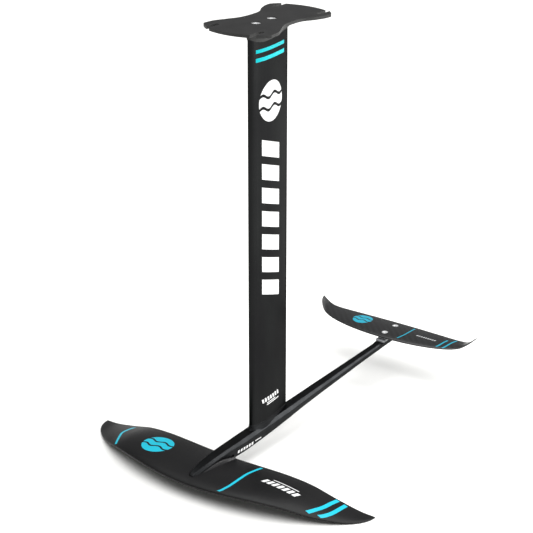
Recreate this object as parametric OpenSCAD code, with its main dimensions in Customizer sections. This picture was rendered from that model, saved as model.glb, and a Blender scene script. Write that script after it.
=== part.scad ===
// Hydrofoil mast with its board plate, fuselage, front wing and stabiliser.
// X runs along the wings, +Y points aft, +Z points up to the board.
// The origin is the centre of the board slot pattern, on the face that meets the board.

/* [Mast] */
// Distance from the board face down to the seam on the fuselage
mast_length = 721; // [450:1:1000]
// Front-to-back width of the mast section
mast_chord = 107; // [95:0.5:130]
// Thickest part of the mast section
mast_thickness = 20; // [18:0.5:26]
// Wall of the hollow mast, measured across the section
mast_wall = 2.4; // [1.8:0.1:2.8]
// Mast centre, measured aft of the slot pattern's centre
mast_offset = -0.6; // [-12:0.1:12]
// Thickness of the blunt trailing edge
mast_edge = 1.6; // [1:0.1:2.4]

/* [Board plate] */
// Overall front-to-back length
plate_length = 225; // [200:1:250]
// Width across the two front lobes
plate_width = 137; // [130:1:150]
// Width across the waist
plate_waist = 84; // [80:1:96]
// Thickness of the plate outside the boss
plate_thickness = 5; // [4.5:0.5:8]
// Sideways spacing of the two board tracks
track_spacing = 90; // [84:1:94]
// Front-to-back spacing of the board screws
screw_spacing = 165; // [150:1:175]
// Width of the open-ended slots
slot_width = 8.6; // [6.6:0.1:9.4]
// Depth that the mast sinks below the board face before it meets the plate
socket_floor = 8; // [7:0.5:10]
// Depth of the boss round the mast head, at the middle of its sides
boss_depth = 31; // [26:1:40]
// How far the boss flares sideways where it meets the plate
boss_flare = 27; // [10:1:28]

/* [Fuselage] */
// Nose tip, measured forward of the slot pattern's centre
nose_reach = 222; // [200:1:240]
// Tail end, measured aft of the slot pattern's centre
tail_reach = 441; // [425:1:520]
// Full width beside the mast
fuselage_width = 30; // [28:1:36]
// Height of the body beside the mast
fuselage_height = 26; // [23:0.5:30]
// Full width at the tail
tail_width = 18; // [16:0.5:24]
// Height at the tail
tail_height = 12.5; // [10.5:0.5:14]
// Upward slope of the fuselage towards the tail, in degrees
fuselage_pitch = 2.24; // [0:0.1:3]

/* [Front wing] */
// Tip-to-tip span
wing_span = 592; // [450:1:900]
// Front-to-back width in the middle
wing_chord = 119; // [112:1:122]
// Thickness of the middle section
wing_thickness = 16; // [14:0.5:18]
// How far the tips hang below the middle
wing_droop = 31; // [0:0.5:60]
// How far the trailing edge moves aft from the middle to the tip
wing_sweep = 16.5; // [0:0.5:30]
// Nose-up angle of the front wing on the fuselage, in degrees
wing_incidence = 0.7; // [0:0.1:2]
// Laminate round the foam cores
wing_skin = 1.2; // [0.8:0.1:1.6]

/* [Stabiliser] */
// Tip-to-tip span
stabiliser_span = 355; // [280:1:500]
// Front-to-back width in the middle
stabiliser_chord = 73.5; // [70:0.5:84]
// Thickness of the middle section
stabiliser_thickness = 8.4; // [8:0.2:11]
// How far the tips curl up above the middle
stabiliser_curl = 19; // [0:0.5:40]
// Height of the stabiliser's middle above the fuselage
stabiliser_rise = 8.2; // [7:0.1:12]
// Nose-up angle of the stabiliser on the fuselage, in degrees
stabiliser_incidence = 0.4; // [0:0.1:2]
// Laminate round the stabiliser's foam cores
stabiliser_skin = 1; // [0.8:0.1:1.4]
// Spacing of the two stabiliser screws
stabiliser_screw_spacing = 38; // [30:1:44]

/* [Fasteners] */
// Thread of the four mast screws
mast_screw_d = 8; // [6:1:8]
// Length of the screws that hold the plate
plate_screw_length = 40; // [30:1:50]
// Length of the screws that hold the fuselage
fuselage_screw_length = 35; // [32:1:50]
// Spacing of the two screws at each end of the mast
mast_screw_spacing = 42; // [36:1:44]
// Thread of the wing and stabiliser screws
wing_screw_d = 6; // [5:1:6]
// Length of the front wing screws
wing_screw_length = 18; // [16:1:19]
// Length of the stabiliser screws
stabiliser_screw_length = 16; // [14:1:17]
// Thickness of the gaskets at both ends of the mast
gasket = 0.8; // [0.5:0.1:1.5]
// Clearance round bonded and seated pieces
fit_gap = 0.15; // [0.1:0.05:0.3]
// Radial clearance of screws in their holes
hole_gap = 0.25; // [0.15:0.05:0.4]
// Radial clearance of screws in threads, which are drawn plain
thread_gap = 0.05; // [0.03:0.01:0.1]

/* [Hidden] */
$fn = 48;

// Mast section and its inner cells, as fractions of the chord from the leading edge
section_steps = 16;
nose_cell = [0.035, 0.1];
insert_cell = [0.13, 0.69];
tail_cell = [0.72, 0.84];
mast_front = mast_offset - mast_chord / 2;
mast_top = -socket_floor - gasket;
mast_bottom = -mast_length + gasket;

// The two screws at each end of the mast
mast_screw_mid = mast_offset - 11.8;
mast_screw_y = [mast_screw_mid - mast_screw_spacing / 2, mast_screw_mid + mast_screw_spacing / 2];
insert_length = 46;
tenon = 9;
plug_length = 14;

// Countersunk screws: head diameter, socket width across flats and socket depth follow the thread
function head_d(d) = 2 * d;
function socket_af(d) = 0.63 * d;
function socket_depth(d) = 0.4 * d;
head_recess = 1.2;
countersink_rim = 0.4;

// Fuselage, in its own frame: y along it, z = 0 at the seam under the mast
fuselage_top = -6;
bevel_drop = 6;
tang_floor = -20;
wing_gap = 0.2;
wing_rear = -120;
tang_start = wing_rear + wing_gap;
seat_front = 366;
tail_top_ratio = 0.84;

// Front wing
wing_level = -25.3;
wing_camber = 0.021;
wing_edge = 0.8;
wing_steps = 14;
wing_stations = 20;
wing_taper = 0.57;
tip_taper = 0.5;
droop_curve = [
    [0, 0.07], [0.12, 0.05], [0.3, 0], [0.45, 0.01], [0.6, 0.16], [0.75, 0.54], [0.9, 0.885], [1, 1]
];
wing_screw_y = [-186, -146];
block_half = 30;
core_start = block_half;
core_end = 0.72;
core_cell = [0.06, 0.8];
bond_line = 0.05;
block_cell = [0.3, 0.8];
block_top = tang_floor - 1.4;
bushing_rim = 1.5;
bushing_d = head_d(wing_screw_d) + 2 * bushing_rim;
bushing_height = 4.6;
bushing_inset = 0.5;
thread_insert_wall = 1.2;
thread_insert_length = 8.5;
hole_spare = 0.5;

// Stabiliser
stabiliser_level = fuselage_top + stabiliser_rise;
stabiliser_rear = seat_front + 4 + stabiliser_chord;
stabiliser_camber = 0.014;
stabiliser_edge = 0.8;
stabiliser_stations = 18;
stabiliser_sweep = -7.7;
stabiliser_taper = 0.525;
curl_curve = [[0, 0], [0.5, 0.01], [0.75, 0.055], [0.85, 0.145], [0.9, 0.29], [0.95, 0.59], [1, 1]];
stabiliser_core_start = 16;
stabiliser_core_end = 0.66;
stabiliser_core_cell = [0.1, 0.7];
stabiliser_screw_y = [
    stabiliser_rear - stabiliser_chord / 2 - 1.6 - stabiliser_screw_spacing / 2,
    stabiliser_rear - stabiliser_chord / 2 - 1.6 + stabiliser_screw_spacing / 2
];
shim_width = 20;
shim_round = 4;
shim_lap = 4;
shim_lip = 2.5;
shim_step = 9;

// ---------- helpers ----------

function mix(a, b, t) = a + (b - a) * t;
function reverse(list) = [for (i = [len(list) - 1:-1:0]) list[i]];
function mirrored(side) = concat(side, [for (p = reverse(side)) if (p[0] != 0) [-p[0], p[1]]]);

// Value at x on a smooth curve through rows of [x, value, value, ...]
function slope(rows, i) =
    i == 0 ? (rows[1] - rows[0]) / (rows[1][0] - rows[0][0])
    : i == len(rows) - 1 ? (rows[i] - rows[i - 1]) / (rows[i][0] - rows[i - 1][0])
    : (rows[i + 1] - rows[i - 1]) / (rows[i + 1][0] - rows[i - 1][0]);
function curve(rows, x, i = 0) =
    i < len(rows) - 2 && x > rows[i + 1][0] ? curve(rows, x, i + 1)
    : let (w = rows[i + 1][0] - rows[i][0], t = (x - rows[i][0]) / w)
      rows[i] * (1 - 3 * t * t + 2 * pow(t, 3))
      + rows[i + 1] * (3 * t * t - 2 * pow(t, 3))
      + slope(rows, i) * w * (t - 2 * t * t + pow(t, 3))
      + slope(rows, i + 1) * w * (pow(t, 3) - t * t);

// Half thickness of a symmetrical foil section, as a share of its full thickness
function foil(s) =
    1.4845 * sqrt(s) - 0.63 * s - 1.758 * s * s + 1.4215 * pow(s, 3) - 0.518 * pow(s, 4);
function foil_step(i, n) = (1 - cos(180 * i / n)) / 2;

// Solid through a list of rings that all have the same number of points.
// Seen from the last ring's end, each ring runs anticlockwise.
module loft(rings) {
    n = len(rings[0]);
    last = len(rings) - 1;
    sides = [
        for (r = [0:last - 1], i = [0:n - 1])
            let (a = r * n + i, b = r * n + (i + 1) % n)
            each [[a, b + n, b], [a, a + n, b + n]]
    ];
    caps = [[for (i = [0:n - 1]) i], [for (i = [n - 1:-1:0]) last * n + i]];
    polyhedron(points = [for (ring = rings) each ring], faces = concat(sides, caps));
}

// Countersunk screw pointing down, with the top of its head at z = 0
module screw(d, length) {
    difference() {
        rotate_extrude()
            polygon([
                [0, 0], [head_d(d) / 2, 0], [head_d(d) / 2, -countersink_rim],
                [d / 2, -countersink_rim - (head_d(d) - d) / 2], [d / 2, -length + 0.5],
                [d / 2 - 0.5, -length], [0, -length]
            ]);
        translate([0, 0, -socket_depth(d)])
            cylinder(d = socket_af(d) / cos(30), h = socket_depth(d) + 1, $fn = 6);
    }
}

// Space for that screw: clear hole, countersink and a straight recess above the head
module screw_hole(d, length, recess) {
    r = d / 2 + hole_gap;
    head = head_d(d) / 2 + hole_gap;
    rotate_extrude()
        polygon([
            [0, recess], [head, recess], [head, -countersink_rim],
            [r, -countersink_rim - (head - r)], [r, -length], [0, -length]
        ]);
}

module thread_hole(d, length) cylinder(r = d / 2 + thread_gap, h = length);

module along_fuselage() translate([0, 0, -mast_length]) rotate([fuselage_pitch, 0, 0]) children();

// ---------- mast ----------

// Half thickness of the mast at a fraction of its chord
function mast_half(s) = max(foil(s) * mast_thickness, mast_edge / 2);

// Right half of the mast outline from trailing to leading edge
function mast_side(grow = 0) = [
    for (i = [section_steps:-1:0])
        let (s = foil_step(i, section_steps))
        [
            (i == 0 ? 0 : mast_half(s)) + grow * min(1, 4 * s),
            mast_front - grow + s * (mast_chord + 2 * grow)
        ]
];

module mast_section(grow = 0) polygon(mirrored(mast_side(grow)));

module mast_cell(cell, gap = 0) {
    front = mast_front + cell[0] * mast_chord + gap;
    rear = mast_front + cell[1] * mast_chord - gap;
    polygon(mirrored([
        for (i = [0:8])
            let (y = mix(front, rear, i / 8), s = (y - mast_front) / mast_chord)
            [mast_half(s) - mast_wall - gap, y]
    ]));
}

module mast() {
    color("#2b2b2c")
    translate([0, 0, mast_bottom])
        linear_extrude(mast_top - mast_bottom)
            difference() {
                mast_section();
                mast_cell(nose_cell);
                mast_cell(insert_cell);
                mast_cell(tail_cell);
            }
}

module mast_head_insert() {
    color("#8d9096")
    difference() {
        translate([0, 0, mast_top - insert_length])
            linear_extrude(insert_length) mast_cell(insert_cell, fit_gap);
        for (y = mast_screw_y)
            translate([0, y, mast_top - insert_length - 1])
                thread_hole(mast_screw_d, insert_length + 2);
    }
}

module foot_insert_shape(gap, tenon_depth) {
    translate([0, 0, -mast_length - tenon_depth])
        linear_extrude(insert_length + tenon_depth) mast_cell(insert_cell, gap);
}

module mast_foot_insert() {
    color("#8d9096")
    difference() {
        foot_insert_shape(fit_gap, tenon);
        for (y = mast_screw_y)
            translate([0, y, -mast_length - tenon - 1])
                thread_hole(mast_screw_d, insert_length + tenon + 2);
    }
}

module mast_plugs() {
    color("#4b4c50")
    for (z = [mast_top - plug_length, mast_bottom])
        translate([0, 0, z])
            linear_extrude(plug_length) {
                mast_cell(nose_cell, fit_gap);
                mast_cell(tail_cell, fit_gap);
            }
}

module gasket_sheet(z) {
    translate([0, 0, z])
        linear_extrude(gasket)
            difference() {
                mast_section();
                mast_cell(insert_cell);
            }
}

module mast_head_gasket() color("#161617") gasket_sheet(mast_top);
module mast_foot_gasket() color("#161617") gasket_sheet(-mast_length);

// ---------- board plate ----------

// Half width of the plate at points along its length, from the front lobes to the rear ones
lobe = plate_width / 2;
waist = plate_waist / 2;
plate_end = plate_length / 2;
rear_lobe = lobe - 5;
plate_sides = [
    [-plate_end + 29, lobe], [-plate_end + 51, lobe - 2.5], [-plate_end + 73, mix(waist, lobe, 0.5)],
    [-plate_end + 95, waist + 3], [8, waist], [plate_end - 79, waist + 2],
    [plate_end - 58, mix(waist, rear_lobe, 0.6)], [plate_end - 40, rear_lobe - 2],
    [plate_end - 25, rear_lobe]
];
side_steps = 32;
slot_x = track_spacing / 2;

// Rounded end of the plate between the slots, then the finger outside one slot
function plate_tip(half_width, shoulder, cut) = concat(
    [for (x = [0:0.2:1]) [x * (slot_x - 4), plate_end - 7.5 * x * x]],
    [
        for (t = [0:0.125:1])
            (1 - t) * (1 - t) * [slot_x + 4, plate_end - cut]
            + 2 * t * (1 - t) * [half_width - 2, mix(plate_end - cut, shoulder, 0.45 + cut / 50)]
            + t * t * [half_width, shoulder]
    ]
);

function plate_side() = concat(
    [for (p = plate_tip(plate_sides[0][1], -plate_sides[0][0], 12)) [p[0], -p[1]]],
    [
        for (i = [1:side_steps - 1])
            let (y = mix(plate_sides[0][0], plate_sides[8][0], i / side_steps))
            [curve(plate_sides, y)[1], y]
    ],
    reverse(plate_tip(plate_sides[8][1], plate_sides[8][0], 8))
);

module plate_slot() {
    stop = screw_spacing / 2 - 2.5;
    translate([0, stop]) circle(d = slot_width);
    translate([-slot_width / 2, stop]) square([slot_width, plate_length]);
}

module plate_outline() {
    difference() {
        polygon(mirrored(plate_side()));
        for (x = [-1, 1], y = [0, 1])
            mirror([0, y]) translate([x * slot_x, 0]) plate_slot();
    }
}

// Flared boss under the plate, following the mast's section
boss_lip = 1.6;
boss_rise = 10;
boss_front_flare = 14;
boss_rings = 8;

function boss_ring(t) =
    let (
        outline = mirrored(mast_side(boss_lip)),
        top = -plate_thickness + 1,
        middle = mast_offset,
        side_grow = boss_flare * pow(t, 1.7),
        end_grow = boss_front_flare * pow(t, 2.4)
    )
    [
        for (p = outline)
            let (bulge = abs(p[0]) / (mast_thickness / 2 + boss_lip))
            [
                p[0] + sign(p[0]) * side_grow * bulge,
                middle + (p[1] - middle) * (1 + end_grow / (mast_chord / 2)),
                mix(-boss_depth + boss_rise * (1 - bulge), top, t)
            ]
    ];

module mast_plate() {
    color("#444546")
    difference() {
        union() {
            translate([0, 0, -plate_thickness]) linear_extrude(plate_thickness) plate_outline();
            loft([for (i = [boss_rings:-1:0]) boss_ring(i / boss_rings)]);
        }
        translate([0, 0, -boss_depth - 1])
            linear_extrude(boss_depth + 1 - socket_floor) mast_section(fit_gap);
        for (y = mast_screw_y)
            translate([0, y, -head_recess]) screw_hole(mast_screw_d, socket_floor, head_recess + 1);
    }
}

module plate_screws() {
    color("#c9ccd0")
    for (y = mast_screw_y)
        translate([0, y, -head_recess]) screw(mast_screw_d, plate_screw_length);
}

// ---------- fuselage ----------

// Rows of [y, half width of the flat top, half width, top, bottom], first those of the nose tang
half = fuselage_width / 2;
tail_half = tail_width / 2;
top_half = 0.6 * half;
belly = fuselage_top - fuselage_height;
tail_belly = fuselage_top - tail_height;
nose_rows = [
    [-nose_reach, 3.2, 5.6, -16.5], [-nose_reach + 5, 4.6, 7.6, -13.6],
    [-nose_reach + 16, 0.4 * half, 0.64 * half, -11], [-nose_reach + 36, 0.5 * half, 0.76 * half, -8.4],
    [-nose_reach + 62, 0.56 * half, 0.84 * half, -6.6], [tang_start, top_half, 0.9 * half, fuselage_top]
];
fuselage_rows = [
    for (row = nose_rows) [each row, belly],
    [-84, top_half, half, fuselage_top, belly],
    [-26, top_half, half, fuselage_top, belly + 1.4],
    [35, 0.96 * top_half, 0.98 * half, fuselage_top, mix(belly, tail_belly, 0.31)],
    [82, 0.9 * top_half, 0.9 * half, fuselage_top, mix(belly, tail_belly, 0.5)],
    [139, mix(0.55 * tail_half, top_half, 0.7), mix(tail_half, half, 0.55), fuselage_top,
        mix(belly, tail_belly, 0.63)],
    [219, mix(0.55 * tail_half, top_half, 0.45), mix(tail_half, half, 0.32), fuselage_top,
        mix(belly, tail_belly, 0.77)],
    [330, 0.64 * tail_half, tail_half, fuselage_top, mix(belly, tail_belly, 0.92)],
    [seat_front - 14, 0.66 * tail_half, tail_half, fuselage_top, mix(belly, tail_belly, 0.95)],
    [seat_front - 2, tail_top_ratio * tail_half, tail_half, fuselage_top, mix(belly, tail_belly, 0.97)],
    [tail_reach - 6, tail_top_ratio * tail_half, tail_half, fuselage_top, tail_belly],
    [tail_reach, tail_top_ratio * tail_half - 2, tail_half - 3, fuselage_top, tail_belly + 3]
];

function bevelled_top(row, grow) =
    let (flat = row[1] + grow, wide = row[2] + grow, top = row[3] + grow)
    [[flat, top], [wide, top - min(bevel_drop, (wide - flat) * 1.15)]];

function fuselage_ring(row) = [
    for (p = mirrored([each bevelled_top(row, 0), [row[2], row[4] + 4], [0.55 * row[2], row[4]]]))
        [p[0], row[0], p[1]]
];

module fuselage_body() {
    difference() {
        loft([for (row = fuselage_rows) fuselage_ring(row)]);
        translate([-half - 5, -nose_reach - 10, belly - 20])
            cube([2 * half + 10, nose_reach + 10 + tang_start, tang_floor - belly + 20]);
    }
}

// The nose tang with a clearance round it, run out past the wing's rear edge
function tang_ring(row, y) = [
    for (p = mirrored([each bevelled_top(row, fit_gap), [row[2] + fit_gap, tang_floor - fit_gap]]))
        [p[0], y, p[1]]
];
module tang_space() {
    first = nose_rows[0];
    last = nose_rows[len(nose_rows) - 1];
    loft([
        tang_ring(first, first[0] - fit_gap),
        for (i = [1:len(nose_rows) - 1]) tang_ring(nose_rows[i], nose_rows[i][0]),
        tang_ring(last, last[0] + 20)
    ]);
}

// Collar that carries the mast, from the seam down into the body
collar_depth = 15;
collar_lip = 0.7;
collar_flare = [half - mast_thickness / 2, 12];
collar_rings = 7;

function collar_ring(t) =
    let (outline = mirrored(mast_side(collar_lip)), side = collar_flare[0] * pow(t, 1.5) - 0.3 * t)
    [
        for (p = outline)
            let (bulge = abs(p[0]) / (mast_thickness / 2 + collar_lip))
            [
                p[0] + sign(p[0]) * (side - collar_lip * t) * bulge,
                mast_offset + (p[1] - mast_offset) * (1 + collar_flare[1] * pow(t, 2.2) / (mast_chord / 2)),
                -mast_length - t * collar_depth
            ]
    ];

// Both mast screws turn in from the underside, their heads level with each other
fuselage_head_z = -mast_length + fuselage_top - fuselage_height + 5.6;

// Blind holes in the nose reach past their inserts and past the wing screws' ends
function nose_hole_top(y) =
    max(tang_floor + thread_insert_length, bushing_z(y) + bushing_inset + wing_screw_length) + hole_spare;

module fuselage() {
    color("#343638")
    difference() {
        union() {
            along_fuselage() fuselage_body();
            loft([for (i = [0:collar_rings]) collar_ring(i / collar_rings)]);
        }
        foot_insert_shape(-fit_gap, tenon + 0.5);
        for (y = mast_screw_y)
            translate([0, y, fuselage_head_z]) mirror([0, 0, 1]) screw_hole(mast_screw_d, 24, 12);
        along_fuselage() {
            for (y = wing_screw_y)
                translate([0, y, tang_floor - 1])
                    cylinder(r = thread_insert_r + thread_gap, h = nose_hole_top(y) - tang_floor + 1);
            for (y = stabiliser_screw_y)
                translate([0, y, fuselage_top - thread_insert_length - 1])
                    cylinder(r = thread_insert_r + thread_gap, h = thread_insert_length + 2);
        }
    }
}

module fuselage_screws() {
    color("#c9ccd0")
    for (y = mast_screw_y)
        translate([0, y, fuselage_head_z])
            mirror([0, 0, 1]) screw(mast_screw_d, fuselage_screw_length);
}

thread_insert_r = wing_screw_d / 2 + thread_insert_wall;

module thread_inserts(positions, z) {
    color("#b9bcc0")
    along_fuselage()
        for (y = positions)
            translate([0, y, z])
                difference() {
                    cylinder(r = thread_insert_r, h = thread_insert_length);
                    translate([0, 0, -1]) thread_hole(wing_screw_d, thread_insert_length + 2);
                }
}

module nose_thread_inserts() thread_inserts(wing_screw_y, tang_floor);
module tail_thread_inserts() thread_inserts(stabiliser_screw_y, fuselage_top - thread_insert_length);

// ---------- wings ----------

// Planform and height of a wing at a share f of its half span.
// A wing is [half span, chord, thickness, rear edge y, level, sweep, lift, lift curve, taper, camber,
// incidence, edge].
front = [wing_span / 2, wing_chord, wing_thickness, wing_rear, wing_level, wing_sweep,
    -wing_droop, droop_curve, wing_taper, wing_camber, wing_incidence, wing_edge];
rear = [stabiliser_span / 2, stabiliser_chord, stabiliser_thickness, stabiliser_rear, stabiliser_level,
    stabiliser_sweep, stabiliser_curl, curl_curve, stabiliser_taper, stabiliser_camber,
    stabiliser_incidence, stabiliser_edge];

function chord_at(wing, f) =
    wing[1] * pow(max(1 - f * f, 0.0012), mix(wing[8], tip_taper, pow(abs(f), 12)));
function rear_at(wing, f) = wing[3] + wing[5] * f * f;
function height_at(wing, f) = wing[4] + wing[6] * curve(wing[7], f)[1];
function thick_at(wing, f) = wing[2] * pow(chord_at(wing, f) / wing[1], 1.25);

// Height of the upper (side = 1) or lower (side = -1) face at a share s of the chord
function skin_at(wing, f, s, side, inset = 0) =
    let (chord = chord_at(wing, f))
    height_at(wing, f) + 4 * wing[9] * chord * s * (1 - s) + tan(wing[10]) * chord * (1 - s)
    + side * (foil(s) * thick_at(wing, f) + wing[11] / 2 * s * min(1, chord / 20) - inset);

function wing_ring(wing, f, cell = [0, 1], inset = 0, n = wing_steps) =
    let (
        a = abs(f), chord = chord_at(wing, a), edge = rear_at(wing, a), x = f * wing[0],
        span = [for (i = [0:n]) mix(cell[0], cell[1], foil_step(i, n))]
    )
    concat(
        [for (i = [n:-1:0]) let (s = span[i]) [x, edge - chord * (1 - s), skin_at(wing, a, s, 1, inset)]],
        [
            for (i = [inset == 0 ? 1 : 0:n])
                let (s = span[i])
                [x, edge - chord * (1 - s), skin_at(wing, a, s, -1, inset)]
        ]
    );

// Stations crowd towards the tips, where the outline turns fastest
function stations(n) = [for (i = [-n:n]) sin(90 * i / n)];
module wing_body(wing, n) loft([for (f = stations(n)) wing_ring(wing, f)]);

module wing_cores(wing, from, to, cell, inset) {
    start = from / wing[0];
    for (side = [0, 1])
        mirror([side, 0, 0])
            loft([for (i = [0:9]) wing_ring(wing, mix(start, to, i / 9), cell, inset, 9)]);
}

// Raised saddle on the wing that wraps the nose of the fuselage:
// rows of [y, half width at the rim, rim height, half width at the foot]
saddle_rows = [
    [wing_rear, 0.9 * half + 2, wing_level + 1.5, 0.9 * half + 5],
    [-136, 0.9 * half + 2.4, wing_level + 6, 0.9 * half + 8.5],
    [-156, 0.88 * half + 2.8, wing_level + 11, 0.88 * half + 10],
    [-180, 0.8 * half + 3, wing_level + 12, 0.8 * half + 9.5],
    [-202, 0.68 * half + 3, wing_level + 9.5, 0.68 * half + 8],
    [-nose_reach - 1, 0.42 * half + 3, wing_level + 5.5, 0.42 * half + 7],
    [-nose_reach - 9, 4, wing_level + 2, 7]
];

function saddle_ring(row) = [
    for (p = mirrored([
        [row[3], wing_level - 1], [mix(row[1], row[3], 0.45), mix(wing_level, row[2], 0.45)],
        [mix(row[1], row[3], 0.12), mix(wing_level, row[2], 0.85)], [row[1] - 0.6, row[2]]
    ]))
        [p[0], row[0], p[1]]
];

module front_wing_shape() {
    wing_body(front, wing_stations);
    loft([for (row = saddle_rows) saddle_ring(row)]);
}

function share_at(wing, y) = (y - wing[3] + wing[1]) / wing[1];
function bushing_z(y) = skin_at(front, 0, share_at(front, y), -1) + bushing_inset;

module at_wing_screws() {
    for (y = wing_screw_y)
        translate([0, y, bushing_z(y)]) children();
}

// Room for the bushings and their screws, open on the wing's underside
module bushing_room() {
    at_wing_screws() {
        translate([0, 0, -6]) cylinder(d = bushing_d + 2 * fit_gap, h = 6 + bushing_height);
        cylinder(r = wing_screw_d / 2 + hole_gap, h = 20);
    }
}

// Solid laminate block between the cores, under the fuselage's nose
module block_shape(gap) {
    reach = (block_half - gap) / front[0];
    difference() {
        loft([for (f = [-reach, 0, reach]) wing_ring(front, f, block_cell, wing_skin + gap, 9)]);
        translate([-wing_span / 2, wing_rear - wing_chord, block_top - gap])
            cube([wing_span, wing_chord, wing_thickness]);
    }
}

module front_wing() {
    color("#262626")
    along_fuselage()
        difference() {
            front_wing_shape();
            tang_space();
            wing_cores(front, core_start - fit_gap, core_end, core_cell, wing_skin);
            block_shape(0);
            bushing_room();
        }
}

module front_wing_cores() {
    color("#d8cfae")
    along_fuselage() wing_cores(front, core_start + fit_gap, core_end, core_cell, wing_skin + bond_line);
}

module front_wing_block() {
    color("#6f7a3c")
    along_fuselage()
        difference() {
            block_shape(fit_gap);
            bushing_room();
        }
}

module front_wing_bushings() {
    color("#b4b7bb")
    along_fuselage()
        at_wing_screws()
            difference() {
                cylinder(d = bushing_d, h = bushing_height);
                translate([0, 0, bushing_inset])
                    mirror([0, 0, 1]) screw_hole(wing_screw_d, 10, 2);
            }
}

module front_wing_screws() {
    color("#c9ccd0")
    along_fuselage()
        at_wing_screws()
            translate([0, 0, bushing_inset]) mirror([0, 0, 1]) screw(wing_screw_d, wing_screw_length);
}

// ---------- stabiliser ----------

stabiliser_head_inset = 0.5;

module at_stabiliser_screws() {
    for (y = stabiliser_screw_y)
        translate([0, y, skin_at(rear, 0, share_at(rear, y), 1) - stabiliser_head_inset]) children();
}

module stabiliser_core_shape(inset) {
    wing_cores(rear, stabiliser_core_start, stabiliser_core_end, stabiliser_core_cell, inset);
}

module stabiliser() {
    color("#3b3b3c")
    along_fuselage()
        difference() {
            wing_body(rear, stabiliser_stations);
            stabiliser_core_shape(stabiliser_skin);
            at_stabiliser_screws() screw_hole(wing_screw_d, 20, 2);
        }
}

module stabiliser_cores() {
    color("#d8cfae")
    along_fuselage() stabiliser_core_shape(stabiliser_skin + bond_line);
}

module shim_outline(front_end) {
    hull()
        for (x = [-1, 1], y = [front_end + shim_round, stabiliser_rear - shim_lap - shim_round])
            translate([x * (shim_width / 2 - shim_round), y]) circle(r = shim_round, $fn = 32);
}

module stabiliser_shim() {
    color("#8f9194")
    along_fuselage()
        difference() {
            translate([0, 0, fuselage_top])
                union() {
                    linear_extrude(shim_lip) shim_outline(seat_front);
                    linear_extrude(stabiliser_rise) shim_outline(seat_front + shim_step);
                }
            wing_body(rear, stabiliser_stations);
            at_stabiliser_screws() screw_hole(wing_screw_d, 20, 2);
        }
}

module stabiliser_screws() {
    color("#c9ccd0")
    along_fuselage() at_stabiliser_screws() screw(wing_screw_d, stabiliser_screw_length);
}

mast_plate();
plate_screws();
mast_head_gasket();
mast();
mast_head_insert();
mast_foot_insert();
mast_plugs();
mast_foot_gasket();
fuselage();
fuselage_screws();
nose_thread_inserts();
tail_thread_inserts();
front_wing();
front_wing_cores();
front_wing_block();
front_wing_bushings();
front_wing_screws();
stabiliser();
stabiliser_cores();
stabiliser_shim();
stabiliser_screws();
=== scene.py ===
import math

import bmesh
import bpy
from mathutils import Matrix, Vector


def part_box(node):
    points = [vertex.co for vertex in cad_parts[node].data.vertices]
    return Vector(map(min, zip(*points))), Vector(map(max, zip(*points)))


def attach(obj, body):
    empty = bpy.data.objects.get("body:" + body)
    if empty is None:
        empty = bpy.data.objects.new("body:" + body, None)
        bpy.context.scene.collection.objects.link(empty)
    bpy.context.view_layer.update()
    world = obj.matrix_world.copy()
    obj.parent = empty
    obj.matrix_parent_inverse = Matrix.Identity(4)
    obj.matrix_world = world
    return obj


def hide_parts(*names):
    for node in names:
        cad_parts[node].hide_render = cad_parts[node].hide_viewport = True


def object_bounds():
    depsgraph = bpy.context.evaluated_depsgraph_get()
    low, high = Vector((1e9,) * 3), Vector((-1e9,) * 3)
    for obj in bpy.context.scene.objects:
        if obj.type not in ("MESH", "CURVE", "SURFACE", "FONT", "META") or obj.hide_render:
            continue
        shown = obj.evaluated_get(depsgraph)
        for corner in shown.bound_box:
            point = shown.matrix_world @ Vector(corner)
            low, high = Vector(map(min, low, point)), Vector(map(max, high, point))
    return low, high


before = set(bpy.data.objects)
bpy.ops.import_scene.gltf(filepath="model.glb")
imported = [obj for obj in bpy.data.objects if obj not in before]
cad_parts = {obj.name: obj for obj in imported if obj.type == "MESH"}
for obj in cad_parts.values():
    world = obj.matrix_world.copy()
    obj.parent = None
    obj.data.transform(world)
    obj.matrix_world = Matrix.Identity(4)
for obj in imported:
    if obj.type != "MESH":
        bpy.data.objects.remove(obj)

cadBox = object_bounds()  # the CAD model's own box, before anything is added
scene = bpy.context.scene
mm = 0.001
mergeGap = 0.004 * mm  # points closer than this are one point
upright = Matrix.Identity(4)
colourMix = {"data_type": "RGBA"}
clampedMinus = {"operation": "SUBTRACT", "use_clamp": True}


# small tools for colour, nodes and meshes

def linear(code):
    # sRGB hex to the linear colour that the sockets want
    parts = [int(code[i:i + 2], 16) / 255 for i in (1, 3, 5)]
    return [c / 12.92 if c <= 0.04045 else ((c + 0.055) / 1.055) ** 2.4 for c in parts] + [1]


def feed(tree, node, inputs):
    # inputs: a list by place, or a dictionary by name or place
    # nodes and sockets are linked, hex colours turned linear, the rest is set as it is
    pairs = inputs.items() if isinstance(inputs, dict) else enumerate(inputs)
    for key, value in pairs:
        if isinstance(value, str):
            value = linear(value)
        if isinstance(value, bpy.types.Node):
            value = next(s for s in value.outputs if s.enabled)
        if isinstance(value, bpy.types.NodeSocket):
            tree.links.new(value, node.inputs[key])
        elif value is not None:
            node.inputs[key].default_value = value


def addNode(tree, kind, settings=None, inputs=()):
    # settings: a dictionary, or just the operation's name
    node = tree.nodes.new("ShaderNode" + kind)
    if isinstance(settings, str):
        settings = {"operation": settings}
    for key, value in (settings or {}).items():
        setattr(node, key, value)
    feed(tree, node, inputs)
    return node


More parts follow.
